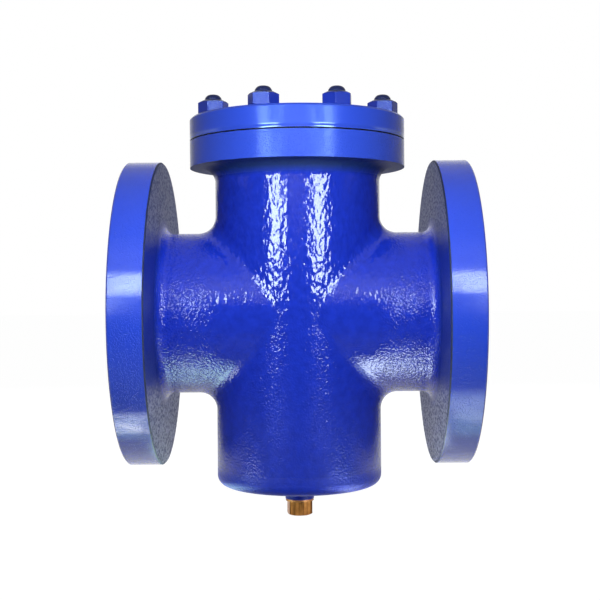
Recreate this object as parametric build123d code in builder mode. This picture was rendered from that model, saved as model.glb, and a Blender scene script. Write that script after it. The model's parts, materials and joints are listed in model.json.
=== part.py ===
from build123d import *
import math
import os

# Flanged pot strainer for a DN 100 pipeline. A cross-shaped iron casting holds two pipe necks
# with end flanges and an upright pot. A slanted diaphragm inside the pot carries a perforated
# basket with a slanted rim, so all the flow passes down into the basket and out through its
# wall. A blank cover on eight studs closes the pot, and a plug under it drains the sump.
#
# Millimetres. The origin is the centre of the inlet flange's face, +X runs along the flow to
# the outlet, and +Z points up to the cover.

# ---- pipe line ----
FACE_TO_FACE = 243.2
PORT_BORE = 100.0
NECK_WALL = 8.2
END_FLANGE_DIAMETER = 220.0
END_FLANGE_THICKNESS = 24.0
END_FLANGE_EDGE = 1.0  # chamfer on the rims

# ---- pot ----
POT_STEP = 1.8  # the pot's outside stands this much proud of the necks, in radius
POT_RELIEF = 1.0  # and its bore is this much larger than the ports, in radius
POT_DEPTH = 125.0  # pipe axis down to the pot's underside
POT_FLOOR = 10.0
POT_MOUTH_HEIGHT = 123.95  # pipe axis up to the joint face
TOP_FLANGE_THICKNESS = 18.75

# ---- cast blends ----
BRANCH_BLEND = 12.0  # necks into pot
END_FLANGE_BLEND = 8.0
TOP_FLANGE_BLEND = 10.0
POT_FOOT_BLEND = 7.0
SUMP_CORNER = 6.0  # chamfer between the pot's bore and its floor
BOSS_FLARE = 4.0

# ---- slanted diaphragm ----
DIAPHRAGM_SLOPE = 50.0  # degrees, rising from under the inlet to over the outlet
DIAPHRAGM_THICKNESS = 8.0

# ---- cover, gasket and their fastening ----
COVER_THICKNESS = 15.95
COVER_EDGE = 1.5  # chamfer
COVER_SPIGOT_DEPTH = 4.5
SPIGOT_GAP = 1.0  # spigot in the pot's mouth, radial
SPIGOT_CHAMFER = 1.0
GASKET_THICKNESS = 1.0
GASKET_INSET = 1.0  # the ring's edges lie this far from the pot's bore and from the stud holes
STUD_COUNT = 8
STUD_TURN = 2.7  # degrees that the pattern is turned on from straddling the pipe's direction
STUD_INSET = 14.0  # stud axes out from the pot's bore
STUD_EDGE = 13.2  # and in from the rim of the top flange and cover
STUD_DIAMETER = 12.0
STUD_HOLE = 13.5  # clearance holes in the cover
STUD_ENGAGEMENT = 14.0
STUD_STAND_OUT = 14.0  # above the cover
TAPPED_DEPTH = 16.0
NUT_ACROSS_FLATS = 19.0
NUT_HEIGHT = 10.0
THREAD_FIT = 0.05  # radial clearance that stands for each screw thread

# How far each nut's corner stands from facing -Y, in degrees, where spanner work left it.
NUT_TURNS = (-5.5, -25.0, 12.0, 25.0, 5.0, -8.0, -17.0, 21.0)

# ---- basket ----
BASKET_LEDGE = 9.0  # basket's wall in from the pot's bore, radial
BASKET_SHEET = 1.2
BASKET_FLOOR_THICKNESS = 1.5
BASKET_SEAT_GAP = 1.0  # shell in the diaphragm's hole, radial
SUMP_GAP = 8.0  # basket floor above the pot's floor
RIM_THICKNESS = 3.0
RIM_GAP = 2.0  # rim in the pot's bore, radial
HANDLE_STRAP_WIDTH = 12.0
HANDLE_STRAP_THICKNESS = 3.0
HANDLE_BEND = 16.0  # to the strap's middle
HANDLE_TOP_GAP = 0.3  # under the cover's spigot

# ---- perforation ----
HOLE_WIDTH = 9.0  # square holes
HOLES_PER_ROW = 12
ROW_PITCH = 16.5
EDGE_LAND = 4.0  # plain sheet left along each edge
FLOOR_HOLE_RINGS = {11.5: 4, 28.0: 10}  # radius of each ring and the holes on it

# ---- drain ----
DRAIN_BOSS_DIAMETER = 21.0
DRAIN_BOSS_HEIGHT = 11.5
DRAIN_THREAD = 13.16
DRAIN_THREAD_LENGTH = 14.0
DRAIN_TIP_CHAMFER = 1.0
PLUG_ACROSS_FLATS = 17.0
PLUG_HEAD_HEIGHT = 10.2
PLUG_CHAMFER_ANGLE = 30.0  # degrees, on the head's corners
PLUG_TURN = 12.0  # degrees that one corner stands past facing -Y
WASHER_DIAMETER = 20.6
WASHER_THICKNESS = 1.5
WASHER_GAP = 0.3  # around the plug's thread, radial

MATCH = 0.01  # how closely an edge has to match to be picked

# ---- what follows from them ----
port_r = PORT_BORE / 2
neck_r = port_r + NECK_WALL
pot_r = neck_r + POT_STEP
pot_bore_r = port_r + POT_RELIEF
pot_x = FACE_TO_FACE / 2
stud_circle_r = pot_bore_r + STUD_INSET
top_flange_r = stud_circle_r + STUD_EDGE
flange_under_z = POT_MOUTH_HEIGHT - TOP_FLANGE_THICKNESS
sump_z = POT_FLOOR - POT_DEPTH
gasket_top_z = POT_MOUTH_HEIGHT + GASKET_THICKNESS
cover_top_z = gasket_top_z + COVER_THICKNESS
spigot_under_z = gasket_top_z - COVER_SPIGOT_DEPTH
boss_under_z = -POT_DEPTH - DRAIN_BOSS_HEIGHT
plug_face_z = boss_under_z - WASHER_THICKNESS
basket_r = pot_bore_r - BASKET_LEDGE
basket_inner_r = basket_r - BASKET_SHEET
seat_hole_r = basket_r + BASKET_SEAT_GAP
rim_r = pot_bore_r - RIM_GAP
basket_under_z = sump_z + SUMP_GAP
basket_floor_z = basket_under_z + BASKET_FLOOR_THICKNESS
handle_leg_y = (basket_inner_r + rim_r) / 2
handle_top_z = spigot_under_z - HANDLE_TOP_GAP - HANDLE_STRAP_THICKNESS / 2
drain_r = DRAIN_THREAD / 2

# Levels along the pot are offsets of this plane, and slanted ones are offsets of the diaphragm.
pot_plane = Plane(origin=(pot_x, 0, 0))
slope = math.radians(DIAPHRAGM_SLOPE)
uphill = (math.cos(slope), 0, math.sin(slope))
diaphragm_plane = Plane(origin=(pot_x, 0, 0), x_dir=uphill, z_dir=(-math.sin(slope), 0, math.cos(slope)))
seat_plane = diaphragm_plane.offset(DIAPHRAGM_THICKNESS / 2)
rim_top_plane = seat_plane.offset(RIM_THICKNESS)

# The first stud stands about half a pitch to the right of facing -Y, and the rest follow round.
stud_pitch = 360 / STUD_COUNT
stud_start = -90 + stud_pitch / 2 + STUD_TURN
stud_angles = [stud_start + index * stud_pitch for index in range(STUD_COUNT)]


def is_ring(edge, radius):
    """Whether an edge is a circle of this radius."""
    return edge.geom_type == GeomType.CIRCLE and abs(edge.radius - radius) < MATCH


def rings(piece, radius, axis, level):
    """The circular edges of one radius whose centres lie at one level along an axis."""
    same_size = piece.edges().filter_by(lambda edge: is_ring(edge, radius))
    return same_size.filter_by(lambda edge: abs(edge.arc_center.dot(axis.direction) - level) < MATCH)


def stud_plane(angle, level):
    """A horizontal plane on one stud's axis."""
    turn = math.radians(angle)
    centre = (pot_x + stud_circle_r * math.cos(turn), stud_circle_r * math.sin(turn), level)
    return Plane(origin=centre)


def slope_height(x):
    """Height of the basket's seat at a distance x from the pot's axis."""
    return x * math.tan(slope) + DIAPHRAGM_THICKNESS / 2 / math.cos(slope)


# ---- body casting ----
# The diaphragm fills the pot's bore between two slanted faces, round the basket's hole.
with BuildPart() as diaphragm:
    with BuildSketch(pot_plane):
        Circle(pot_bore_r)
        Circle(seat_hole_r, mode=Mode.SUBTRACT)
    extrude(amount=POT_DEPTH, both=True)
    split(bisect_by=seat_plane, keep=Keep.BOTTOM)
    split(bisect_by=seat_plane.offset(-DIAPHRAGM_THICKNESS), keep=Keep.TOP)

with BuildPart() as cavity:
    with BuildSketch(pot_plane.offset(sump_z)):
        Circle(pot_bore_r)
    extrude(amount=POT_MOUTH_HEIGHT - sump_z)
    chamfer(rings(cavity, pot_bore_r, Axis.Z, sump_z), length=SUMP_CORNER)
    with BuildSketch(Plane.YZ):
        Circle(port_r)
    extrude(amount=FACE_TO_FACE)
    add(diaphragm.part, mode=Mode.SUBTRACT)

with BuildPart() as body:
    with BuildSketch(pot_plane.offset(-POT_DEPTH)):
        Circle(pot_r)
    extrude(amount=POT_DEPTH + flange_under_z)
    with BuildSketch(Plane.YZ):
        Circle(neck_r)
    extrude(amount=FACE_TO_FACE)
    fillet(body.edges().filter_by(GeomType.BSPLINE), radius=BRANCH_BLEND)
    # End flanges, blended into their necks.
    with BuildSketch(Plane.YZ, Plane.YZ.offset(FACE_TO_FACE - END_FLANGE_THICKNESS)):
        Circle(END_FLANGE_DIAMETER / 2)
    extrude(amount=END_FLANGE_THICKNESS)
    for flange_back in (END_FLANGE_THICKNESS, FACE_TO_FACE - END_FLANGE_THICKNESS):
        fillet(rings(body, neck_r, Axis.X, flange_back), radius=END_FLANGE_BLEND)
    flange_edges = body.edges().filter_by(lambda edge: is_ring(edge, END_FLANGE_DIAMETER / 2))
    chamfer(flange_edges, length=END_FLANGE_EDGE)
    # Top flange, and the drain boss under the pot.
    with BuildSketch(pot_plane.offset(flange_under_z)):
        Circle(top_flange_r)
    extrude(amount=TOP_FLANGE_THICKNESS)
    fillet(rings(body, pot_r, Axis.Z, flange_under_z), radius=TOP_FLANGE_BLEND)
    fillet(rings(body, pot_r, Axis.Z, -POT_DEPTH), radius=POT_FOOT_BLEND)
    with BuildSketch(pot_plane.offset(boss_under_z)):
        Circle(DRAIN_BOSS_DIAMETER / 2)
    extrude(amount=DRAIN_BOSS_HEIGHT + POT_FLOOR / 2)
    chamfer(rings(body, DRAIN_BOSS_DIAMETER / 2, Axis.Z, -POT_DEPTH), length=BOSS_FLARE)
    # Waterways, the plug's thread and the studs' blind holes.
    add(cavity.part, mode=Mode.SUBTRACT)
    with BuildSketch(pot_plane.offset(boss_under_z)):
        Circle(drain_r + THREAD_FIT)
    extrude(amount=DRAIN_BOSS_HEIGHT + POT_FLOOR, mode=Mode.SUBTRACT)
    with BuildSketch(pot_plane.offset(POT_MOUTH_HEIGHT)):
        with PolarLocations(stud_circle_r, STUD_COUNT, start_angle=stud_start):
            Circle(STUD_DIAMETER / 2 + THREAD_FIT)
    extrude(amount=-TAPPED_DEPTH, mode=Mode.SUBTRACT)
body.part.label = "body_casting"

# ---- gasket and cover ----
with BuildPart() as gasket:
    with BuildSketch(pot_plane.offset(POT_MOUTH_HEIGHT)):
        Circle(stud_circle_r - STUD_HOLE / 2 - GASKET_INSET)
        Circle(pot_bore_r + GASKET_INSET, mode=Mode.SUBTRACT)
    extrude(amount=GASKET_THICKNESS)
gasket.part.label = "cover_gasket"

with BuildPart() as cover:
    with BuildSketch(pot_plane.offset(gasket_top_z)):
        Circle(top_flange_r)
    extrude(amount=COVER_THICKNESS)
    chamfer(rings(cover, top_flange_r, Axis.Z, cover_top_z), length=COVER_EDGE)
    with BuildSketch(pot_plane.offset(spigot_under_z)):
        Circle(pot_bore_r - SPIGOT_GAP)
    extrude(amount=COVER_SPIGOT_DEPTH)
    chamfer(rings(cover, pot_bore_r - SPIGOT_GAP, Axis.Z, spigot_under_z), length=SPIGOT_CHAMFER)
    with BuildSketch(pot_plane.offset(gasket_top_z)):
        with PolarLocations(stud_circle_r, STUD_COUNT, start_angle=stud_start):
            Circle(STUD_HOLE / 2)
    extrude(amount=COVER_THICKNESS, mode=Mode.SUBTRACT)
cover.part.label = "blank_cover"

# ---- studs and nuts ----
studs = []
nuts = []
for number, (angle, turn) in enumerate(zip(stud_angles, NUT_TURNS), start=1):
    stud_foot_z = POT_MOUTH_HEIGHT - STUD_ENGAGEMENT
    stud_tip_z = cover_top_z + STUD_STAND_OUT
    with BuildPart() as stud:
        with BuildSketch(stud_plane(angle, stud_foot_z)):
            Circle(STUD_DIAMETER / 2)
        extrude(amount=stud_tip_z - stud_foot_z)
    stud.part.label = f"cover_stud_{number}"
    studs.append(stud)

    with BuildPart() as nut:
        with BuildSketch(stud_plane(angle, cover_top_z)):
            RegularPolygon(NUT_ACROSS_FLATS / 2, side_count=6, major_radius=False, rotation=turn - 90)
            Circle(STUD_DIAMETER / 2 + THREAD_FIT, mode=Mode.SUBTRACT)
        extrude(amount=NUT_HEIGHT)
    nut.part.label = f"cover_nut_{number}"
    nuts.append(nut)

# ---- basket ----
# Staggered rows of square holes, up to a plain land along the slanted edge.
hole_planes = []
row_z = basket_floor_z + EDGE_LAND + HOLE_WIDTH / 2
row_index = 0
while row_z < slope_height(basket_r):
    for index in range(HOLES_PER_ROW):
        bearing = math.radians((index + 0.5 * (row_index % 2)) * 360 / HOLES_PER_ROW)
        outward = Vector(math.cos(bearing), math.sin(bearing), 0)
        edge_above = slope_height(basket_r * outward.X - HOLE_WIDTH / 2)
        if row_z + HOLE_WIDTH / 2 + EDGE_LAND < edge_above:
            centre = Vector(pot_x, 0, row_z) + outward * (basket_inner_r - BASKET_SHEET)
            hole_planes.append(Plane(origin=centre, x_dir=(0, 0, 1), z_dir=outward))
    row_z += ROW_PITCH
    row_index += 1

with BuildPart() as shell:
    with BuildSketch(pot_plane.offset(basket_floor_z)):
        Circle(basket_r)
        Circle(basket_inner_r, mode=Mode.SUBTRACT)
    extrude(amount=slope_height(basket_r) - basket_floor_z)
    split(bisect_by=seat_plane, keep=Keep.BOTTOM)
    with BuildSketch(*hole_planes):
        Rectangle(HOLE_WIDTH, HOLE_WIDTH)
    extrude(amount=3 * BASKET_SHEET, mode=Mode.SUBTRACT)
shell.part.label = "basket_shell"

with BuildPart() as basket_floor:
    with BuildSketch(pot_plane.offset(basket_under_z)):
        Circle(basket_r)
        for ring_r, hole_count in FLOOR_HOLE_RINGS.items():
            with PolarLocations(ring_r, hole_count):
                Rectangle(HOLE_WIDTH, HOLE_WIDTH, mode=Mode.SUBTRACT)
    extrude(amount=BASKET_FLOOR_THICKNESS)
basket_floor.part.label = "basket_floor"

with BuildPart() as rim:
    with BuildSketch(pot_plane):
        Circle(rim_r)
        Circle(basket_inner_r, mode=Mode.SUBTRACT)
    extrude(amount=POT_MOUTH_HEIGHT, both=True)
    split(bisect_by=rim_top_plane, keep=Keep.BOTTOM)
    split(bisect_by=seat_plane, keep=Keep.TOP)
rim.part.label = "basket_rim"

with BuildPart() as handle:
    with BuildLine(Plane(origin=(pot_x, 0, 0), x_dir=(0, 1, 0), z_dir=(1, 0, 0))) as hoop:
        FilletPolyline(
            (-handle_leg_y, 0),
            (-handle_leg_y, handle_top_z),
            (handle_leg_y, handle_top_z),
            (handle_leg_y, 0),
            radius=HANDLE_BEND,
        )
    with BuildSketch(pot_plane):
        with Locations((0, -handle_leg_y)):
            Rectangle(HANDLE_STRAP_WIDTH, HANDLE_STRAP_THICKNESS)
    sweep(path=hoop.wires()[0])
    split(bisect_by=rim_top_plane, keep=Keep.TOP)
handle.part.label = "basket_handle"

# ---- drain ----
with BuildPart() as washer:
    with BuildSketch(pot_plane.offset(plug_face_z)):
        Circle(WASHER_DIAMETER / 2)
        Circle(drain_r + WASHER_GAP, mode=Mode.SUBTRACT)
    extrude(amount=WASHER_THICKNESS)
washer.part.label = "drain_washer"

thread_top_z = boss_under_z + DRAIN_THREAD_LENGTH
head_under_z = plug_face_z - PLUG_HEAD_HEIGHT
head_flat_r = PLUG_ACROSS_FLATS / 2
head_corner_r = PLUG_ACROSS_FLATS / math.sqrt(3)
corner_drop = (head_corner_r - head_flat_r) * math.tan(math.radians(PLUG_CHAMFER_ANGLE))
with BuildPart() as plug:
    # A turned blank with a coned end, trimmed to a hexagon, and the threaded shank above it.
    with BuildSketch(Plane(origin=(pot_x, 0, head_under_z), x_dir=(1, 0, 0), z_dir=(0, -1, 0))):
        with BuildLine():
            Polyline(
                (0, 0),
                (head_flat_r, 0),
                (head_corner_r, corner_drop),
                (head_corner_r, PLUG_HEAD_HEIGHT),
                (0, PLUG_HEAD_HEIGHT),
                close=True,
            )
        make_face()
    revolve(axis=Axis((pot_x, 0, 0), (0, 0, 1)))
    with BuildSketch(pot_plane.offset(head_under_z)):
        RegularPolygon(head_flat_r, side_count=6, major_radius=False, rotation=PLUG_TURN - 90)
    extrude(amount=PLUG_HEAD_HEIGHT, mode=Mode.INTERSECT)
    with BuildSketch(pot_plane.offset(plug_face_z)):
        Circle(drain_r)
    extrude(amount=thread_top_z - plug_face_z)
    chamfer(rings(plug, drain_r, Axis.Z, thread_top_z), length=DRAIN_TIP_CHAMFER)
plug.part.label = "drain_plug"

# ---- one file for each piece ----
os.makedirs("parts", exist_ok=True)
export_step(body.part, "parts/body_casting.step")
export_step(gasket.part, "parts/cover_gasket.step")
export_step(cover.part, "parts/blank_cover.step")
export_step(shell.part, "parts/basket_shell.step")
export_step(basket_floor.part, "parts/basket_floor.step")
export_step(rim.part, "parts/basket_rim.step")
export_step(handle.part, "parts/basket_handle.step")
export_step(washer.part, "parts/drain_washer.step")
export_step(plug.part, "parts/drain_plug.step")
for fastener in studs + nuts:
    export_step(fastener.part, f"parts/{fastener.part.label}.step")
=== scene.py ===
import json
import math
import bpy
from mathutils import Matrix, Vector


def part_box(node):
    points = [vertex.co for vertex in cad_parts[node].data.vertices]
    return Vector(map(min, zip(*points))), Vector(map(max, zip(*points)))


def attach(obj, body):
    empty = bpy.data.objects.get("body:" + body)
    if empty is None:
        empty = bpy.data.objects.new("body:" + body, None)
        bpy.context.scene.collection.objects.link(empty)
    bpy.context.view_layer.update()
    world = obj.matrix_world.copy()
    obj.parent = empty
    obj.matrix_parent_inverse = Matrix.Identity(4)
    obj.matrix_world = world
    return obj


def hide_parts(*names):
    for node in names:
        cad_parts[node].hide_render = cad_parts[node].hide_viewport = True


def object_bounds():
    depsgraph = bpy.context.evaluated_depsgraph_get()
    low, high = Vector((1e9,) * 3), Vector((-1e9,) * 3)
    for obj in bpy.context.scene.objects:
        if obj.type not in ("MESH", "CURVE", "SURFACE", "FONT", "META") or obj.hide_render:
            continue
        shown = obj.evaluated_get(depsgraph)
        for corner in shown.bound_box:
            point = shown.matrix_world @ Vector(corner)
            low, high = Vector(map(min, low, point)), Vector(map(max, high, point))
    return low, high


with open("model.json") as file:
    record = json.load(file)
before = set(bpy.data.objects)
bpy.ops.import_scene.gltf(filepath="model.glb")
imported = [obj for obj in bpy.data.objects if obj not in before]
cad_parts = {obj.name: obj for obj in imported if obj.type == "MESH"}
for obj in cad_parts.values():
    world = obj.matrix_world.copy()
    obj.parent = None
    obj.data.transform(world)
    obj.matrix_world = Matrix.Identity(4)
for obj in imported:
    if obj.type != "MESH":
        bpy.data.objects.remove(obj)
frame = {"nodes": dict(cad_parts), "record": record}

from types import SimpleNamespace

import bmesh
import bpy
from mathutils import Matrix, Vector

cad_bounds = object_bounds()
scene = bpy.context.scene
nodes = frame["nodes"]
MM = 0.001
FULL_TURN = 2 * math.pi
X, Y, Z = Vector((1, 0, 0)), Vector((0, 1, 0)), Vector((0, 0, 1))


def centre(node):
    """The middle of a CAD node's box."""
    low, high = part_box(node)
    return (low + high) / 2


POT_X = centre("blank_cover").x

# ---- camera ----
YAW, PITCH, ROLL = -0.0062, -0.0154, -0.0076
CAMERA_AT = (0.1278192, -0.79483, 0.0212688)
FOCAL_PIXELS, IMAGE_PIXELS = 1082.462, 600
SENSOR_MM = 36

forward = Vector((
    math.sin(YAW) * math.cos(PITCH),
    math.cos(YAW) * math.cos(PITCH),
    math.sin(PITCH),
))
level_right = Vector((math.cos(YAW), -math.sin(YAW), 0))
level_up = level_right.cross(forward)
right = math.cos(ROLL) * level_right + math.sin(ROLL) * level_up
up = math.cos(ROLL) * level_up - math.sin(ROLL) * level_right
lens = bpy.data.cameras.new("camera")
lens.sensor_width = SENSOR_MM
lens.lens = FOCAL_PIXELS / IMAGE_PIXELS * SENSOR_MM
lens.clip_start, lens.clip_end = 0.01, 50
camera = bpy.data.objects.new("camera", lens)
scene.collection.objects.link(camera)
facing = Matrix((right, up, -forward)).transposed()
camera.matrix_world = Matrix.Translation(CAMERA_AT) @ facing.to_4x4()
scene.camera = camera

scene.view_settings.view_transform = "Standard"


# ---- node helpers ----
class Graph:
    """The nodes of a material or world, added by short calls that return output sockets."""

    def __init__(self, owner, shader, place="Object"):
        owner.use_nodes = True
        self.owner = owner
        self.tree = owner.node_tree
        self.tree.nodes.clear()
        self.shader = self.tree.nodes.new(shader)
        kind = "World" if isinstance(owner, bpy.types.World) else "Material"
        output = self.tree.nodes.new(f"ShaderNodeOutput{kind}")
        self.tree.links.new(self.shader.outputs[0], output.inputs["Surface"])
        self.place = self.tree.nodes.new("ShaderNodeTexCoord").outputs[place]

    def feed(self, socket, value):
        """Links or sets an input."""
        if isinstance(value, bpy.types.NodeSocket):
            self.tree.links.new(value, socket)
        elif socket.type == "RGBA":
            socket.default_value = (*value, 1)
        else:
            socket.default_value = value

    def add(self, kind, output, inputs=(), **settings):
        node = self.tree.nodes.new(kind)
        for key, value in settings.items():
            setattr(node, key, value)
        for key, value in dict(inputs).items():
            self.feed(node.inputs[key], value)
        return node.outputs[output]

    def math(self, operation, a, b=0.0, c=0.0):
        return self.add("ShaderNodeMath", 0, {0: a, 1: b, 2: c}, operation=operation)

    def minus(self, a, b):
        return self.math("SUBTRACT", a, b)

    def product(self, first, *others):
        """Of masks, the place where all hold."""
        for other in others:
            first = self.math("MULTIPLY", first, other)
        return first

    def most(self, first, *others):
        """Of masks, the place where any holds."""
        for other in others:
            first = self.math("MAXIMUM", first, other)
        return first

    def above(self, value, limit):
        return self.math("GREATER_THAN", value, limit)

    def below(self, value, limit):
        return self.math("LESS_THAN", value, limit)

    def axes(self):
        """The place's x, y and z."""
        node = self.tree.nodes.new("ShaderNodeSeparateXYZ")
        self.feed(node.inputs[0], self.place)
        return node.outputs

    def length(self, a, b):
        return self.math("SQRT", self.math("ADD", self.product(a, a), self.product(b, b)))

    def step(self, value, low, high, shape="LINEAR"):
        """0 below low, 1 above high, straight between them; falls if low is above high."""
        inputs = {"Value": value, "From Min": low, "From Max": high}
        return self.add("ShaderNodeMapRange", 0, inputs, interpolation_type=shape)

    def noise(self, scale, detail=3.0, roughness=0.5, vector=None):
        inputs = {"Vector": vector or self.place, "Scale": scale}
        inputs.update({"Detail": detail, "Roughness": roughness})
        return self.add("ShaderNodeTexNoise", "Fac", inputs)

    def stretch(self, x, y, z):
        """The place, scaled along each axis."""
        inputs = {0: self.place, 1: (x, y, z)}
        return self.add("ShaderNodeVectorMath", 0, inputs, operation="MULTIPLY")

    def turned(self, radius, pitch):
        """Lathe marks: a wave from -1 to 1 with the pitch of the cut."""
        return self.math("SINE", self.product(radius, FULL_TURN / pitch))

    def blend(self, factor, a, b):
        """Between two numbers."""
        return self.add("ShaderNodeMix", 0, {0: factor, 2: a, 3: b})

    def tint(self, factor, a, b):
        """Between two colours."""
        return self.add("ShaderNodeMix", 2, {0: factor, 6: a, 7: b}, data_type="RGBA")

    def layers(self, mix, base, *layers):
        """A base with others laid over it in order, each by its mask; mix is blend or tint."""
        for mask, value in layers:
            base = mix(mask, base, value)
        return base

    def bump(self, height, distance):
        return self.add("ShaderNodeBump", "Normal", {"Height": height, "Distance": distance})

    def set(self, **values):
        """Sets the shader's sockets; the names have _ for spaces."""
        for key, value in values.items():
            self.feed(self.shader.inputs[key.replace("_", " ")], value)


def new_graph(name, shader="ShaderNodeBsdfPrincipled"):
    return Graph(bpy.data.materials.new(name), shader)


# ---- colours ----
RIM_BLUE = (0.020, 0.074, 0.76)
COVER_BLUE = (0.032, 0.084, 0.68)
CAST_BLUES = (0.009, 0.031, 0.48), (0.0125, 0.041, 0.60)
# Painted shade under the top flange.
LIP_SHADE_BLUE = (0.013, 0.042, 0.19)
# Painted shade in the corners where the necks meet the end flanges.
COLLAR_SHADE_BLUE = (0.010, 0.030, 0.28)
# Painted shade along the end flange rims' back edges.
RIM_EDGE_SHADE_BLUE = (0.004, 0.010, 0.055)
NUT_BLUE, NUT_TOP_BLUE = (0.012, 0.034, 0.40), (0.008, 0.018, 0.13)
STUD_BLUE = (0.006, 0.013, 0.085)
# Dusted paint, each for the upper half and the lower half of a flange; the lower half's is paler
# with painted light from the floor below.
DARK_DUST_LIT_LOW = (0.022, 0.038, 0.14), (0.085, 0.095, 0.18)
PALE_DUST_LIT_LOW = (0.17, 0.185, 0.27), (0.50, 0.51, 0.57)
WHITE = (1.0, 1.0, 1.0)
COVER_SHEEN, RIM_SHEEN, NUT_SHEEN = (0.72, 1.0, 1.0), (0.97, 1.0, 0.96), (0.78, 0.92, 1.0)
MACHINED_IRON = (0.37, 0.36, 0.35), (0.45, 0.44, 0.43)
RAW_IRON = (0.085, 0.078, 0.072), (0.12, 0.09, 0.072)
NUT_STEEL = (0.33, 0.32, 0.30)
STUD_STEEL = (0.10, 0.095, 0.09), (0.22, 0.21, 0.20)
BRASS, BRASS_MARK = ((0.48, 0.21, 0.055), (0.30, 0.115, 0.028)), (0.08, 0.030, 0.008)
COPPER = (0.40, 0.185, 0.07), (0.27, 0.11, 0.045)
STAINLESS = (0.44, 0.43, 0.415), (0.58, 0.57, 0.55)
FIBRE = (0.016, 0.016, 0.018), (0.045, 0.043, 0.042)

# ---- where the enamelled pieces change, in metres ----
# R is a distance from the pipe's axis or the pot's, OFF one along the pipe from the pot's axis, and
# Z a height. A pair is a fade, which starts at its first number and is full at its second. RIM and
# END belong to the end flanges, and TOP to the top flange.
RIM_R, RIM_OFF = (0.10875, 0.10895), (0.0980, 0.0985)
RIM_EDGE_R, RIM_EDGE_OFF, RIM_EDGE_HALF_WIDTH = (0.1086, 0.1090), 0.0968, 0.0018
END_FACE_R, END_FACE_OFF = 0.1085, 0.1214
TOP_RIM_R, TOP_RIM_OFF, TOP_RIM_Z = (0.0776, 0.0778), (0.0792, 0.0788), (0.1052, 0.1054)
TOP_FACE_R, TOP_FACE_Z = 0.0774, 0.1058
BORE_R, DRAIN_R = 0.0504, 0.0068
WELL_R, WELL_Z = 0.0514, -0.1153
LIP_Z = (0.0960, 0.1020)
COLLAR_R, COLLAR_OFF = (0.0595, 0.0635), (0.0860, 0.0920)
FOOT_Z = (-0.110, -0.116)
DUST_R, DUST_OFF, DUST_Z, DUST_LIT_LOW_Z = (0.062, 0.070), 0.0945, (0.058, 0.076), (0.02, -0.02)
COVER_WALL_R, COVER_UNDER_Z = 0.0775, 0.12502
COVER_BEAD_Z, COVER_SWELL_Z = (0.1282, 0.1274), (0.1250, 0.1280)
NUT_BORE_R, NUT_TOP_Z = 0.00665, (0.0094, 0.0108)
STUD_TIP_Z = (0.1510, 0.1513)

LATHE_PITCH, BRASS_LATHE_PITCH = 0.0008, 0.0004
MACHINED_METALLIC, MACHINED_ROUGHNESS = 0.9, 0.38


# ---- enamelled iron ----
def machined_iron(g):
    return g.tint(g.noise(420, detail=4.0), *MACHINED_IRON)


def cast_height(g, coarse, deep, small_depth):
    """The height of a cast skin under thick enamel, in millimetres: broad lumps where coarse is 1,
    deeper where deep is 1 too, and small lumps of small_depth where it is 0."""
    swell = g.noise(85, detail=1.0)
    runs = g.noise(330, detail=1.0, roughness=0.4, vector=g.stretch(1.0, 1.0, 0.6))
    broad = g.product(runs, g.blend(deep, 0.46, 0.62))
    small = g.product(g.noise(700, detail=1.0, roughness=0.4), small_depth)
    return g.math("MULTIPLY_ADD", swell, 0.22, g.blend(coarse, small, broad))


def body_areas(g):
    """The casting's coordinates, and a mask for each area with a finish of its own."""
    x, y, z = g.axes()
    off = g.math("ABSOLUTE", g.minus(x, POT_X))
    pipe_r = g.length(y, z)
    pot_r = g.length(g.minus(x, POT_X), y)
    near = g.step(off, *TOP_RIM_OFF)
    rim = g.product(g.step(pipe_r, *RIM_R), g.step(off, *RIM_OFF))
    edge = g.math("COMPARE", off, RIM_EDGE_OFF, RIM_EDGE_HALF_WIDTH)
    top_rim = g.product(near, g.step(z, *TOP_RIM_Z), g.step(pot_r, *TOP_RIM_R))
    patchy = g.noise(560, roughness=0.6, vector=g.stretch(1.0, 0.45, 1.0))
    dust_z = g.math("MULTIPLY_ADD", patchy, 0.03, g.math("ABSOLUTE", z))
    end_faces = g.product(g.above(off, END_FACE_OFF), g.below(pipe_r, END_FACE_R))
    top_face = g.product(g.above(z, TOP_FACE_Z), g.below(pot_r, TOP_FACE_R))
    machined = g.most(end_faces, top_face)
    well = g.product(g.below(pot_r, WELL_R), g.above(z, WELL_Z))
    inside = g.most(g.below(pipe_r, BORE_R), well, g.below(pot_r, DRAIN_R))
    return SimpleNamespace(
        z=z, off=off, pipe_r=pipe_r, pot_r=pot_r, patchy=patchy,
        rim=rim, top_rim=top_rim, top_face=top_face, machined=machined,
        rim_edge=g.product(g.step(pipe_r, *RIM_EDGE_R), edge),
        bare=g.most(machined, g.product(inside, g.minus(1.0, machined))),
        lip=g.product(g.step(z, *LIP_Z), g.minus(near, top_rim)),
        collar=g.product(g.step(off, *COLLAR_OFF), g.step(pipe_r, *COLLAR_R)),
        foot=g.step(z, *FOOT_Z),
        dusted=g.product(g.step(pipe_r, *DUST_R), g.above(off, DUST_OFF), g.step(dust_z, *DUST_Z)),
    )


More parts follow.
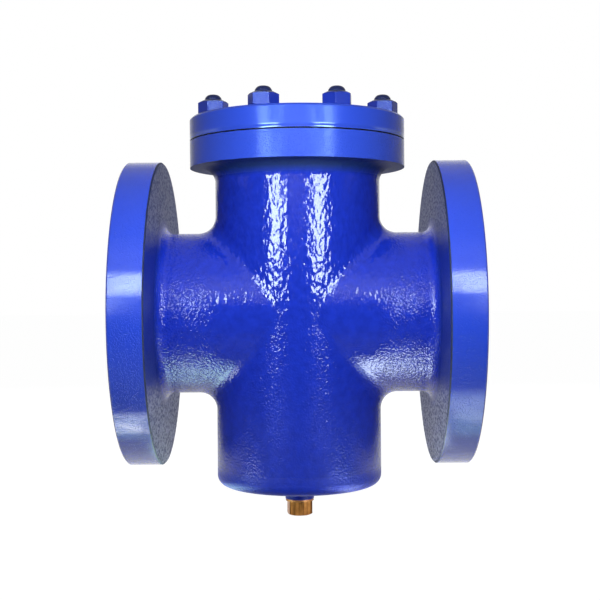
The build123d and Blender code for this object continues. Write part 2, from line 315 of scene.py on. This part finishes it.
def body_colour(g, area):
    # Painted light: the dust is paler on the lower half of each flange's back.
    low = g.step(area.z, *DUST_LIT_LOW_Z)
    dust_lit_low = g.tint(g.step(area.patchy, 0.43, 0.55), g.tint(low, *DARK_DUST_LIT_LOW), g.tint(low, *PALE_DUST_LIT_LOW))
    raw_iron = g.tint(g.step(g.noise(60, detail=5.0), 0.35, 0.7), *RAW_IRON)
    return g.layers(
        g.tint,
        g.tint(g.step(g.noise(200), 0.3, 0.7), *CAST_BLUES),
        # Painted shade: darker under the top flange, and in the corners beside the end flanges.
        (area.lip, LIP_SHADE_BLUE),
        (area.collar, COLLAR_SHADE_BLUE),
        # The end flanges' backs took only a dusting of paint above and below the necks; its paler
        # lower half is painted light from the floor below.
        (area.dusted, dust_lit_low),
        (area.top_rim, COVER_BLUE),
        (area.rim, RIM_BLUE),
        # Painted shade: a dark line along each end flange rim's back edge.
        (area.rim_edge, RIM_EDGE_SHADE_BLUE),
        (area.bare, g.tint(area.machined, raw_iron, machined_iron(g))),
    )


def body_relief(g, area):
    """The casting's height in millimetres."""
    z, off = area.z, area.off
    # Deepest where the necks' tops run into the pot's front.
    corner = g.step(g.math("ABSOLUTE", g.minus(z, off)), 0.014, 0.005)
    corner = g.product(corner, g.step(z, 0.0, 0.01))
    upper_pot = g.product(g.step(off, 0.070, 0.050), g.step(z, -0.01, 0.01))
    lower_sides = g.product(g.step(z, -0.015, -0.050), g.step(off, 0.012, 0.032))
    pot_depth = g.blend(lower_sides, 0.16, 0.32)
    neck_depth = g.blend(g.step(z, -0.005, -0.025), 0.46, 0.7)
    small_depth = g.blend(g.step(off, 0.050, 0.064), pot_depth, neck_depth)
    pits = g.step(g.noise(900, detail=1.0), 0.40, 0.44)
    smooth = g.math("MULTIPLY_ADD", g.noise(1500, detail=2.0), 0.026, g.product(pits, 0.11))
    cut = g.turned(g.blend(area.top_face, area.pipe_r, area.pot_r), LATHE_PITCH)
    return g.layers(
        g.blend,
        cast_height(g, upper_pot, corner, small_depth),
        (g.most(area.rim, area.top_rim), smooth),
        (area.machined, g.product(cut, 0.008)),
    )


def body_roughness(g, area):
    return g.layers(
        g.blend,
        g.blend(g.step(area.z, -0.03, -0.08), 0.11, 0.24),
        (area.foot, 0.4),
        (area.collar, 0.4),
        (area.lip, 0.6),
        (area.dusted, 0.65),
        (area.top_rim, 0.2),
        (area.rim, 0.13),
        (area.rim_edge, 0.6),
        (area.bare, g.blend(area.machined, 0.75, MACHINED_ROUGHNESS)),
    )


def body_paint():
    g = new_graph("body_enamel")
    area = body_areas(g)
    dull = g.most(area.lip, area.foot)
    g.set(
        Base_Color=body_colour(g, area),
        Metallic=g.product(area.machined, MACHINED_METALLIC),
        Roughness=body_roughness(g, area),
        Specular_IOR_Level=g.layers(
            g.blend, 0.5, (area.rim, 0.58), (dull, 0.2), (area.top_rim, 0.2)
        ),
        Specular_Tint=g.layers(
            g.tint, WHITE, (area.top_rim, COVER_SHEEN), (area.rim, RIM_SHEEN)
        ),
        Normal=g.bump(body_relief(g, area), MM),
    )
    return g.owner


def cover_paint():
    g = new_graph("cover_enamel")
    x, y, z = g.axes()
    pot_r = g.length(g.minus(x, POT_X), y)
    wall = g.above(pot_r, COVER_WALL_R)
    # Paint gathered in a glossy bead along the wall's lower edge.
    bead = g.product(wall, g.step(z, *COVER_BEAD_Z))
    bare = g.product(g.below(z, COVER_UNDER_Z), g.minus(1.0, wall))
    fine = g.product(g.noise(1500, detail=2.0), 0.05)
    peel = g.product(g.noise(260, detail=2.0), 0.08)
    cut = g.product(g.turned(pot_r, LATHE_PITCH), 0.012)
    swollen = g.product(wall, g.step(z, *COVER_SWELL_Z, "SMOOTHSTEP"))
    relief = g.blend(bare, g.math("ADD", fine, peel), cut)
    g.set(
        Base_Color=g.tint(bare, COVER_BLUE, machined_iron(g)),
        Metallic=g.product(bare, MACHINED_METALLIC),
        Roughness=g.layers(g.blend, 0.2, (bead, 0.1), (bare, MACHINED_ROUGHNESS)),
        Specular_IOR_Level=g.blend(bead, 0.2, 0.8),
        Specular_Tint=COVER_SHEEN,
        Normal=g.bump(g.math("MULTIPLY_ADD", swollen, 0.6, relief), 0.6 * MM),
    )
    return g.owner


def nut_paint():
    """Enamel outside, bare steel in the bore; the nut's own axis is its object's Z."""
    g = new_graph("nut_enamel")
    x, y, z = g.axes()
    bore = g.below(g.length(x, y), NUT_BORE_R)
    uneven = g.math("MULTIPLY_ADD", g.noise(420), 3 * MM, z)
    g.set(
        Base_Color=g.layers(
            g.tint, NUT_BLUE, (g.step(uneven, *NUT_TOP_Z), NUT_TOP_BLUE), (bore, NUT_STEEL)
        ),
        Metallic=bore,
        Roughness=g.blend(bore, 0.26, 0.4),
        Specular_IOR_Level=0.34,
        Specular_Tint=NUT_SHEEN,
        Normal=g.bump(g.noise(400, detail=2.0), 0.12 * MM),
    )
    return g.owner


def stud_paint():
    """Enamel on the tip that stands out of the nut, oiled steel below."""
    g = new_graph("stud_finish")
    z = g.axes()[2]
    uneven = g.math("ADD", z, g.product(g.noise(500), 0.6 * MM))
    tip = g.step(uneven, *STUD_TIP_Z)
    steel = g.tint(g.noise(300, detail=4.0), *STUD_STEEL)
    g.set(
        Base_Color=g.tint(tip, steel, STUD_BLUE),
        Metallic=g.minus(1.0, tip),
        Specular_IOR_Level=0.3,
        Roughness=g.blend(tip, 0.42, 0.36),
        Normal=g.bump(g.noise(900, detail=2.0), 0.08 * MM),
    )
    return g.owner


# ---- other metals, and the gasket ----
def brass():
    g = new_graph("machined_brass")
    x, y, z = g.axes()
    stain = g.step(g.noise(240, detail=4.0), 0.35, 0.75)
    # Dark streaks along the plug's axis.
    streaks = g.noise(420, detail=2.0, vector=g.stretch(1.0, 1.0, 0.05))
    cut = g.product(g.turned(g.length(x, y), BRASS_LATHE_PITCH), 0.04)
    g.set(
        Base_Color=g.tint(g.step(streaks, 0.34, 0.50), BRASS_MARK, g.tint(stain, *BRASS)),
        Metallic=1.0,
        Roughness=g.blend(stain, 0.28, 0.42),
        Normal=g.bump(g.math("ADD", cut, g.product(g.noise(1600), 0.25)), 0.04 * MM),
    )
    return g.owner


def copper():
    g = new_graph("annealed_copper")
    stain = g.step(g.noise(350, detail=4.0), 0.35, 0.7)
    g.set(
        Base_Color=g.tint(stain, *COPPER),
        Metallic=1.0,
        Roughness=g.blend(stain, 0.35, 0.5),
        Normal=g.bump(g.noise(1200), 0.04 * MM),
    )
    return g.owner


def stainless():
    g = new_graph("stainless_sheet")
    streaks = g.noise(1.0, detail=4.0, roughness=0.7, vector=g.stretch(700, 700, 60))
    g.set(
        Base_Color=g.tint(streaks, *STAINLESS),
        Metallic=1.0,
        Roughness=g.blend(streaks, 0.26, 0.4),
        Normal=g.bump(streaks, 0.03 * MM),
    )
    return g.owner


def gasket():
    g = new_graph("gasket_fibre")
    fibre = g.noise(1.0, detail=4.0, vector=g.stretch(900, 900, 3000))
    g.set(
        Base_Color=g.tint(fibre, *FIBRE),
        Roughness=0.82,
        Normal=g.bump(fibre, 0.06 * MM),
    )
    return g.owner


paints = {
    "body_paint": body_paint(),
    "cover_paint": cover_paint(),
    "nut_paint": nut_paint(),
    "stud_paint": stud_paint(),
    "gasket": gasket(),
    "basket_steel": stainless(),
    "plug_brass": brass(),
    "washer_copper": copper(),
}
slot_of = {part["node"]: part["material_slot"] for part in frame["record"]["subparts"]}
for name, piece in nodes.items():
    piece.data.materials.clear()
    piece.data.materials.append(paints[slot_of[name]])


# ---- mesh helpers ----
def finish_piece(name, mesh, body, replaced, slot, origin=Vector(), crease=32):
    """Links a new piece whose mesh is about its own origin, shades it and ties it to the frame."""
    mesh.shade_smooth()
    mesh.set_sharp_from_angle(angle=math.radians(crease))
    mesh.materials.append(paints[slot])
    piece = bpy.data.objects.new(name, mesh)
    piece.location = origin
    scene.collection.objects.link(piece)
    bpy.context.view_layer.update()
    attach(piece, body)
    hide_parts(replaced)
    return piece


def skin(name, rows, wrapped=False):
    """A mesh of rings with as many points each, joined in order; its ends are capped, or joined
    if wrapped."""
    mesh = bpy.data.meshes.new(name)
    count = len(rows[0])
    faces = []
    for i in range(len(rows) if wrapped else len(rows) - 1):
        a, b = i * count, (i + 1) % len(rows) * count
        for k in range(count):
            n = (k + 1) % count
            faces.append((a + k, a + n, b + n, b + k))
    if not wrapped:
        faces.append(tuple(reversed(range(count))))
        faces.append(tuple(range((len(rows) - 1) * count, len(rows) * count)))
    mesh.from_pydata([point for row in rows for point in row], [], faces)
    mesh.update()
    bm = bmesh.new()
    bm.from_mesh(mesh)
    bmesh.ops.recalc_face_normals(bm, faces=bm.faces)
    bm.to_mesh(mesh)
    bm.free()
    return mesh


def polar(radius, angle, z):
    return (radius * math.cos(angle), radius * math.sin(angle), z)


def ring(columns, radius, z):
    """A point at each (angle, radius) column's angle, all at one radius and height."""
    return [polar(radius, angle, z) for angle, own_radius in columns]


def threaded(columns, start, end, steps, radius_at):
    """Rings from one height to another, each point at radius_at(z, angle)."""
    heights = [start + (end - start) * i / steps for i in range(steps + 1)]
    return [[polar(radius_at(z, a), a, z) for a, own_radius in columns] for z in heights]


def thread_drop(z, angle, pitch, depth):
    """How deep a right-hand thread's profile is at a height and angle: flat crests and roots
    between flanks."""
    crest_share, flank_share = 0.12, 0.64
    phase = (z / pitch - angle / FULL_TURN) % 1
    ramp = abs(2 * phase - 1)
    return depth * min(max((ramp - crest_share) / flank_share, 0), 1)


# Degrees from the middle of a hexagon's side to its columns, which are closest at the corners.
SIDE_COLUMNS = (-30, -28.6, -26.5, -18, -9, 0, 9, 18, 26.5, 28.6)
CORNER_CUT = 0.16 * MM


def hex_columns(flats, corner):
    """(angle, radius) round a hexagon with a slightly rounded corner at angle corner."""
    columns = []
    limit = flats / math.sqrt(3) - CORNER_CUT
    for side in range(6):
        for off in SIDE_COLUMNS:
            angle = corner + math.radians(side * 60 + 30 + off)
            columns.append((angle, min(flats / 2 / math.cos(math.radians(off)), limit)))
    return columns


def corner_angle(node, axis):
    """The direction of a hexagonal node's furthest corner from an upright axis."""
    corners = nodes[node].data.vertices
    far = max(corners, key=lambda v: (v.co.x - axis.x) ** 2 + (v.co.y - axis.y) ** 2)
    return math.atan2(far.co.y - axis.y, far.co.x - axis.x)


# ---- nuts and studs: M12, coarse thread ----
FASTENERS = range(1, 9)
M12_PITCH, M12_DEPTH = 1.75 * MM, 0.75 * MM
NUT_FLATS, NUT_THREAD_R = 19 * MM, 6.05 * MM
NUT_THREAD_STEPS = 20
STUD_SIDES = 32
STEPS_A_TURN = 6


def nut_mesh(name, height, corner):
    columns = hex_columns(NUT_FLATS, corner)
    land = NUT_FLATS / 2 * 0.95
    slope = math.tan(math.radians(27))
    lead = 0.8 * MM
    mouth = NUT_THREAD_R + lead
    shoulder = mouth + 0.1 * MM

    def thread_r(z, angle):
        return NUT_THREAD_R + M12_DEPTH - thread_drop(z, angle, M12_PITCH, M12_DEPTH)

    rows = [
        ring(columns, mouth, 0),
        ring(columns, land, 0),
        [polar(r, a, (r - land) * slope) for a, r in columns],
        [polar(r, a, height - (r - shoulder) * slope) for a, r in columns],
        ring(columns, shoulder, height),
        ring(columns, mouth, height),
    ]
    rows += threaded(columns, height - lead, lead, NUT_THREAD_STEPS, thread_r)
    return skin(name, rows, wrapped=True)


def stud_mesh(name, low_z, high_z, radius):
    columns = [(FULL_TURN * k / STUD_SIDES, radius) for k in range(STUD_SIDES)]
    foot, tip, painted = 0.9 * MM, 2.9 * MM, high_z - 4.2 * MM
    start, end = low_z + foot, high_z - tip
    steps = round((end - start) / M12_PITCH * STEPS_A_TURN)

    def thread_r(z, angle):
        """Paint fills most of the thread near the tip."""
        open_share = 0.2 if z > painted else 1.0
        return radius - open_share * thread_drop(z, angle, M12_PITCH, M12_DEPTH)

    rows = [ring(columns, radius - foot, low_z)]
    rows += threaded(columns, start, end, steps, thread_r)
    # Paint rounds the coned end over: radius and depth below the tip, in millimetres.
    for r, below in ((5.75, 2.6), (5.3, 1.9), (4.8, 1.25), (4.2, 0.75),
                     (3.5, 0.35), (2.6, 0.1), (1.5, 0.02), (0.6, 0.0)):
        rows.append(ring(columns, r * MM, high_z - below * MM))
    return skin(name, rows)


for number in FASTENERS:
    node, name = f"cover_nut_{number}", f"nut_{number}_detail"
    low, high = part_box(node)
    foot = Vector((centre(node).x, centre(node).y, low.z))
    mesh = nut_mesh(name, high.z - low.z, corner_angle(node, foot))
    finish_piece(name, mesh, f"nut_{number}", node, "nut_paint", foot, crease=24)

for number in FASTENERS:
    node, name = f"cover_stud_{number}", f"stud_{number}_detail"
    low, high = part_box(node)
    mesh = stud_mesh(name, low.z, high.z, (high.x - low.x) / 2)
    origin = Vector((centre(node).x, centre(node).y, 0))
    finish_piece(name, mesh, "strainer_body", node, "stud_paint", origin)

# ---- drain plug: G1/4 ----
G14_PITCH, G14_DEPTH = 25.4 / 19 * MM, 0.7 * MM
PLUG_FLATS, PLUG_THREAD_R = 17 * MM, 6.58 * MM


def plug_mesh(name, low_z, seat_z, high_z, corner):
    columns = hex_columns(PLUG_FLATS, corner)
    land = PLUG_FLATS / 2 * 0.97
    slope = math.tan(math.radians(30))
    root = PLUG_THREAD_R - G14_DEPTH
    start, end = seat_z + 2.2 * MM, high_z - 1.2 * MM
    steps = round((end - start) / G14_PITCH * STEPS_A_TURN)

    def thread_r(z, angle):
        return PLUG_THREAD_R - thread_drop(z, angle, G14_PITCH, G14_DEPTH)

    # A centre mark, the chamfered hexagon, and the neck between it and the thread.
    rows = [
        ring(columns, 2.2 * MM, low_z + 0.25 * MM),
        ring(columns, 2.5 * MM, low_z),
        ring(columns, land, low_z),
        [polar(r, a, low_z + max(r - land, 0) * slope) for a, r in columns],
        [polar(r, a, seat_z - max(r - land, 0) * slope * 0.5) for a, r in columns],
        ring(columns, land, seat_z),
        ring(columns, root, seat_z),
        ring(columns, root, seat_z + 1.6 * MM),
    ]
    rows += threaded(columns, start, end, steps, thread_r)
    rows.append(ring(columns, PLUG_THREAD_R - 1.3 * MM, high_z))
    return skin(name, rows)


pot_axis = Vector((POT_X, 0, 0))
low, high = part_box("drain_plug")
seat_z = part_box("drain_washer")[0].z
mesh = plug_mesh("plug_detail", low.z, seat_z, high.z, corner_angle("drain_plug", pot_axis))
finish_piece("plug_detail", mesh, "drain_screw", "drain_plug", "plug_brass", pot_axis, crease=24)

# ---- basket ----
SHEET = 1.2 * MM
HOLE_R = 1.5 * MM
# The corners and side middles of a cell that stands on its corner, in quarter pitches.
CELL = ((2, 0), (1, 1), (0, 2), (-1, 1), (-2, 0), (-1, -1), (0, -2), (1, -1))


def perforated(columns, rows, holed, place, pitch, wrapped):
    """A sheet of square cells set cornerwise, each with a round hole where holed(u, v) allows it.
    Cells lie on a grid of quarter pitches, and place(u, v) puts a point of the flat sheet in
    space. A wrapped sheet joins its last column to its first; another has as many columns on
    either side of its middle."""
    bm = bmesh.new()
    shared = {}
    quarter = pitch / 4

    def outer_vert(i, j):
        key = (i % (4 * columns) if wrapped else i, j)
        if key not in shared:
            shared[key] = bm.verts.new(place(i * quarter, j * quarter))
        return shared[key]

    def hole_vert(u, v, k):
        angle = math.pi * k / 4
        return bm.verts.new(place(u + HOLE_R * math.cos(angle), v + HOLE_R * math.sin(angle)))

    first, last = (0, columns) if wrapped else (-columns, columns)
    for row in rows:
        for column in range(first, last):
            i, j = 4 * column + 2 * (row % 2), 2 * row
            u, v = i * quarter, j * quarter
            outer = [outer_vert(i + di, j + dj) for di, dj in CELL]
            if holed(u, v):
                inner = [hole_vert(u, v, k) for k in range(8)]
                for k in range(8):
                    n = (k + 1) % 8
                    bm.faces.new((inner[k], outer[k], outer[n], inner[n]))
            else:
                middle = bm.verts.new(place(u, v))
                for k in (0, 2, 4, 6):
                    bm.faces.new((middle, outer[k - 1], outer[k], outer[k + 1]))
    return bm


def clip(bm, point, normal):
    """Cuts away what lies beyond a plane, on its normal's side."""
    parts = bm.verts[:] + bm.edges[:] + bm.faces[:]
    bmesh.ops.bisect_plane(
        bm, geom=parts, dist=1e-7, plane_co=point, plane_no=normal, clear_outer=True
    )


def finish_sheet(name, bm, node, thickness):
    """Makes a sheet piece of the basket from its outer surface, thickened inwards."""
    mesh = bpy.data.meshes.new(name)
    bm.to_mesh(mesh)
    bm.free()
    piece = finish_piece(name, mesh, "basket", node, "basket_steel", crease=40)
    solid = piece.modifiers.new("sheet", "SOLIDIFY")
    solid.thickness = thickness
    solid.offset = -1


shell_low, shell_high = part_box("basket_shell")
BASKET_R = (shell_high.x - shell_low.x) / 2
SHELL_ROUND = FULL_TURN * BASKET_R
SHELL_COLUMNS = 44
SHELL_PITCH = SHELL_ROUND / SHELL_COLUMNS
SHELL_BORDER = 4 * MM
SEAM_BORDER = 2.4 * MM
# The diaphragm's upper side, which the shell's slanted top follows.
SEAT_SLOPE = math.radians(50)
SEAT_RISE = 4 * MM
seat_normal = Vector((-math.sin(SEAT_SLOPE), 0, math.cos(SEAT_SLOPE)))
seat_at = pot_axis + SEAT_RISE * seat_normal


def shell_place(u, v):
    angle = u / BASKET_R
    y = BASKET_R * math.sin(angle)
    return Vector((POT_X + BASKET_R * math.cos(angle), y, shell_low.z + v))


def shell_holed(u, v):
    """Holes keep off the sheet's foot, slanted top and seam."""
    border = HOLE_R + SHELL_BORDER
    seam = (u / BASKET_R + math.pi / 2) % FULL_TURN * BASKET_R
    clear = (shell_place(u, v) - seat_at).dot(seat_normal) < -border
    return clear and v > border and SEAM_BORDER < seam < SHELL_ROUND - SEAM_BORDER


shell_rows = range(-1, int((shell_high.z - shell_low.z) / SHELL_PITCH * 2) + 3)
bm = perforated(SHELL_COLUMNS, shell_rows, shell_holed, shell_place, SHELL_PITCH, True)
clip(bm, Vector((0, 0, shell_low.z)), -Z)
clip(bm, seat_at, seat_normal)
bmesh.ops.recalc_face_normals(bm, faces=bm.faces)
finish_sheet("shell_perforated", bm, "basket_shell", SHEET)

floor_low, floor_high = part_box("basket_floor")
FLOOR_PITCH = 6 * MM
FLOOR_COLUMNS, FLOOR_ROWS = 8, range(-16, 17)
FLOOR_BORDER = 4.5 * MM
FLOOR_SIDES = 72


def floor_place(u, v):
    return Vector((POT_X + u, v, floor_high.z))


def floor_holed(u, v):
    return math.hypot(u, v) < BASKET_R - FLOOR_BORDER


bm = perforated(FLOOR_COLUMNS, FLOOR_ROWS, floor_holed, floor_place, FLOOR_PITCH, False)
for k in range(FLOOR_SIDES):
    outward = Vector(polar(1, FULL_TURN * k / FLOOR_SIDES, 0))
    clip(bm, pot_axis + outward * BASKET_R, outward)
bmesh.ops.recalc_face_normals(bm, faces=bm.faces)
if sum(f.normal.z for f in bm.faces) < 0:
    bmesh.ops.reverse_faces(bm, faces=bm.faces)
finish_sheet("floor_perforated", bm, "basket_floor", floor_high.z - floor_low.z)


# ---- floor, lights and world ----
def plane(name, middle, across, along, width, length):
    """A rectangle about a point, facing across x along."""
    mesh = bpy.data.meshes.new(name)
    x, y = width / 2, length / 2
    mesh.from_pydata([(-x, -y, 0), (x, -y, 0), (x, y, 0), (-x, y, 0)], [], [(0, 1, 2, 3)])
    piece = bpy.data.objects.new(name, mesh)
    axes = Matrix((across, along, across.cross(along))).transposed()
    piece.matrix_world = Matrix.Translation(middle) @ axes.to_4x4()
    scene.collection.objects.link(piece)
    return piece


def card(name, middle, across, along, width, length, strength, tone, soft):
    """A bright panel that only glossy surfaces see, fading over the share soft of its half width
    and length."""
    g = new_graph(name, "ShaderNodeAddShader")
    level = strength
    for place, half in zip(g.axes(), (width / 2, length / 2)):
        fade = g.step(g.math("ABSOLUTE", place), half, half * (1 - soft), "SMOOTHSTEP")
        level = g.product(level, fade)
    glow = g.add("ShaderNodeEmission", 0, {"Color": tone, "Strength": level})
    g.feed(g.shader.inputs[0], glow)
    g.feed(g.shader.inputs[1], g.add("ShaderNodeBsdfTransparent", 0))
    piece = plane(name, middle, across, along, width, length)
    piece.data.materials.append(g.owner)
    piece.visible_camera = False
    piece.visible_diffuse = False
    piece.visible_shadow = False


def lamp(name, place, aim, width, height, power):
    """A soft panel that lights without being mirrored."""
    light = bpy.data.lights.new(name, "AREA")
    light.shape = "RECTANGLE"
    light.size, light.size_y = width, height
    light.energy = power
    light.spread = math.radians(180)
    piece = bpy.data.objects.new(name, light)
    piece.location = place
    piece.rotation_mode = "QUATERNION"
    piece.rotation_quaternion = (Vector(aim) - Vector(place)).to_track_quat("-Z", "Y")
    piece.visible_glossy = False
    piece.visible_camera = False
    scene.collection.objects.link(piece)


# Each softbox's near and far side from the pot's axis, and its foot and top.
SOFTBOX_Y = -0.80
SOFTBOX_FADE = 0.04
SOFTBOXES = {
    "low": (0.27, 0.57, 0.03, 0.20),
    "inner": (0.20, 0.26, 0.20, 0.43),
    "outer": (0.42, 0.61, 0.20, 0.43),
}
for side, strength, tone in ((-1, 24.0, (0.84, 1.0, 1.0)), (1, 22.0, (0.86, 1.0, 1.0))):
    for name, (near, far, foot, top) in SOFTBOXES.items():
        middle = Vector((POT_X + side * (near + far) / 2, SOFTBOX_Y, (foot + top) / 2))
        card(f"softbox_{name}_{side}", middle, X, Z, far - near, top - foot, strength, tone,
             SOFTBOX_FADE)

# The table's bright parts: x from the pot's axis, y, width, length, strength, tone and fade.
TABLE_Z = -0.1473
for name, x, y, width, length, strength, tone, soft in (
    ("table_rim_left", -0.130, -0.089, 0.10, 0.050, 10.0, (0.95, 0.97, 1.0), 0.4),
    ("table_rim_right", 0.130, -0.118, 0.10, 0.110, 5.2, (0.75, 0.90, 1.0), 0.8),
    ("table_neck_left", -0.080, -0.038, 0.07, 0.125, 9.0, (0.62, 1.0, 0.88), 0.85),
    ("table_side_left", -0.130, -0.083, 0.08, 0.07, 1.5, (0.5, 1.0, 1.0), 0.7),
    ("table_side_right", 0.130, -0.083, 0.08, 0.07, 1.5, (0.5, 1.0, 1.0), 0.7),
    ("table_neck_right", 0.074, -0.066, 0.08, 0.095, 15.0, (0.78, 0.92, 1.0), 0.6),
):
    middle = Vector((POT_X + x, y, TABLE_Z))
    card(name, middle, X, Y, width, length, strength, tone, soft)

lamp("key", (POT_X, -0.32, 0.13), (POT_X, 0, 0.03), 0.12, 0.12, 0.85)
lamp("back", (POT_X, 0.9, 0.45), pot_axis, 1.0, 0.8, 7.0)
lamp("top", (POT_X, -0.6, 1.1), pot_axis, 1.2, 0.8, 2.0)

# Low enough to clear the drain plug when it is unscrewed.
GROUND_DROP = 16.5 * MM
GROUND_SIZE = 12
GROUND_GREY = (0.44, 0.50, 0.51)
GROUND_GLOW = 1.2
GROUND_WHITE_SHARE = 0.82
ground_at = Vector((POT_X, 0, cad_bounds[0].z - GROUND_DROP))
ground = plane("ground", ground_at, X, Y, GROUND_SIZE, GROUND_SIZE)
g = new_graph("ground", "ShaderNodeMixShader")
rays = g.tree.nodes.new("ShaderNodeLightPath").outputs
seen = g.most(rays["Is Camera Ray"], rays["Is Transmission Ray"])
# Glossy surfaces see it white from under the object on, and in its own light before that.
behind = g.step(g.axes()[1], -0.12, -0.05, "SMOOTHSTEP")
mirrored = g.product(rays["Is Glossy Ray"], g.product(behind, GROUND_WHITE_SHARE))
white = g.most(g.product(seen, GROUND_WHITE_SHARE), mirrored)
matt = g.add("ShaderNodeBsdfDiffuse", 0, {"Color": GROUND_GREY})
glow = g.add("ShaderNodeEmission", 0, {"Strength": GROUND_GLOW})
for socket, value in enumerate((white, matt, glow)):
    g.feed(g.shader.inputs[socket], value)
ground.data.materials.append(g.owner)

# The camera sees a white studio. Glossy surfaces see its backdrop white, its ceiling bright
# towards the softboxes, the rest of its ceiling and its rear half grey, and its front dark. Matt
# surfaces are lit by it evenly and faintly.
WHITE_LEVEL, GREY_LEVEL, DARK_LEVEL, CEILING_LEVEL = 1.0, 0.42, 0.06, 0.9
MATT_LEVEL = 0.07
scene.world = bpy.data.worlds.new("studio")
g = Graph(scene.world, "ShaderNodeBackground", "Generated")
rays = g.tree.nodes.new("ShaderNodeLightPath").outputs
seen = g.most(rays["Is Camera Ray"], rays["Is Transmission Ray"])
x, y, z = g.axes()
above = g.step(z, 0.3, 0.6)
grey = g.most(g.step(y, -0.45, 0.0), above)
ceiling = g.product(above, g.step(y, -0.5, -0.8))
around = g.math("MULTIPLY_ADD", grey, GREY_LEVEL, DARK_LEVEL)
around = g.math("ADD", around, g.product(ceiling, CEILING_LEVEL))
mirrored = g.blend(g.step(y, 0.8, 0.97), around, WHITE_LEVEL)
level = g.layers(g.blend, MATT_LEVEL, (rays["Is Glossy Ray"], mirrored), (seen, WHITE_LEVEL))
g.set(Color=WHITE, Strength=level)
